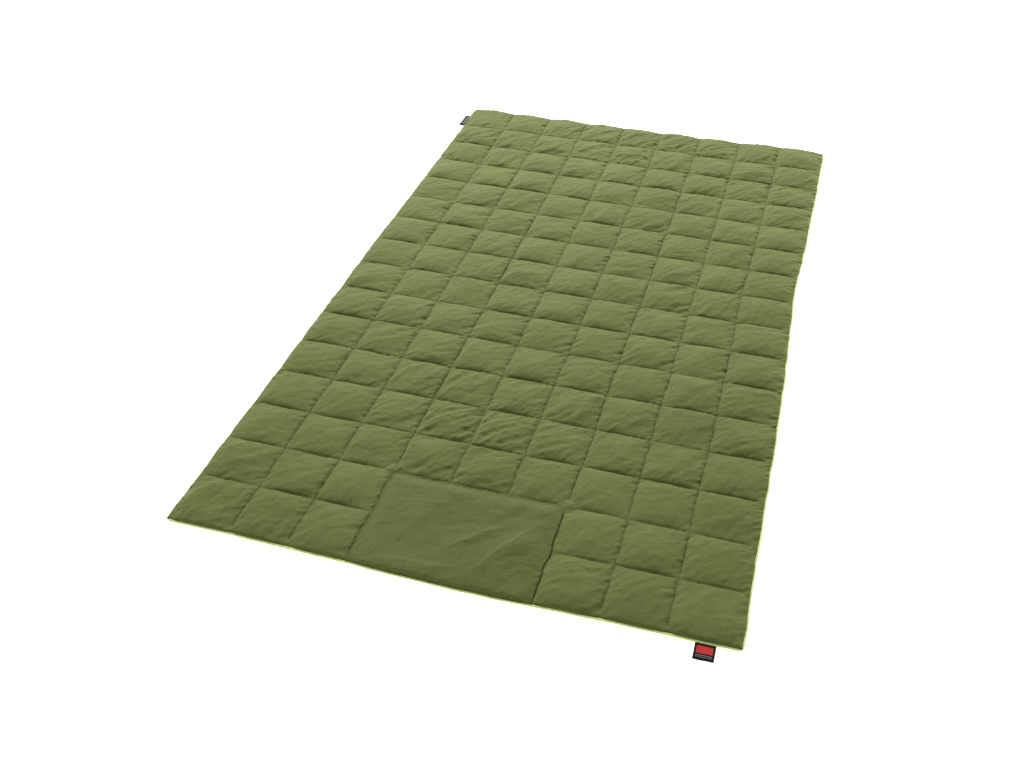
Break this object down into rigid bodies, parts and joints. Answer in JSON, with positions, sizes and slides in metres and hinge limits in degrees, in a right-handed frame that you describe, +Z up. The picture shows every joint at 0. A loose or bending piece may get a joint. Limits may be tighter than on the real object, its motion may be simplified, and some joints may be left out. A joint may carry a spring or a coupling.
{
  "type": "camp blanket",
  "caption": "Quilted camp blanket with piped edge, stow pocket at one end and small sewn-in labels; both long sides fold in over the middle.",
  "frame": {"origin": "middle of the underside, on the surface that the blanket lies on", "axes": "+Z up out of the quilted face, +Y lengthwise, away from the end with the pocket, +X to the right seen from the pocket end"},
  "size_m": [1.2185, 2.1375, 0.018],
  "materials": {
    "face_fabric": "brushed peach-skin polyester, olive green",
    "lining_fabric": "plain-woven polyester, olive green",
    "wadding": "white hollow-fibre wadding",
    "thread": "dark green polyester sewing thread",
    "piping_fabric": "lime-green bias fabric",
    "piping_core": "off-white cotton cord",
    "label_fabric": "black woven label tape"
  },
  "bodies": {
    "middle": {"face_cover_middle": "face_fabric", "wadding_middle": "wadding", "lining_middle": "lining_fabric", "quilt_stitching_middle": "thread", "piping_near": "piping_fabric", "piping_far": "piping_fabric", "piping_core_near": "piping_core", "piping_core_far": "piping_core", "pocket_panel": "face_fabric", "pocket_seam_stitching": "thread", "pocket_hem_stitching": "thread"},
    "left_side": {"face_cover_left": "face_fabric", "wadding_left": "wadding", "lining_left": "lining_fabric", "quilt_stitching_left": "thread", "piping_left": "piping_fabric", "piping_core_left": "piping_core"},
    "right_side": {"face_cover_right": "face_fabric", "wadding_right": "wadding", "lining_right": "lining_fabric", "quilt_stitching_right": "thread", "piping_right": "piping_fabric", "piping_core_right": "piping_core"},
    "front_tag": {"front_label": "label_fabric"},
    "side_tag": {"side_label": "label_fabric"}
  },
  "joints": [
    {"name": "left_fold", "type": "hinge", "parent": "middle", "child": "left_side", "pos_m": [-0.325, 0, 0.02], "axis": [0, 1, 0], "range_deg": [0, 179]},
    {"name": "right_fold", "type": "hinge", "parent": "middle", "child": "right_side", "pos_m": [0.325, 0, 0.02], "axis": [0, -1, 0], "range_deg": [0, 179]},
    {"name": "front_label_flap", "type": "hinge", "parent": "right_side", "child": "front_tag", "pos_m": [0.53, -1.0506, 0.0021], "axis": [-1, 0, 0], "range_deg": [0, 60]},
    {"name": "side_label_flap", "type": "hinge", "parent": "left_side", "child": "side_tag", "pos_m": [-0.6006, 0.96, 0.0021], "axis": [0, 1, 0], "range_deg": [0, 60]}
  ]
}
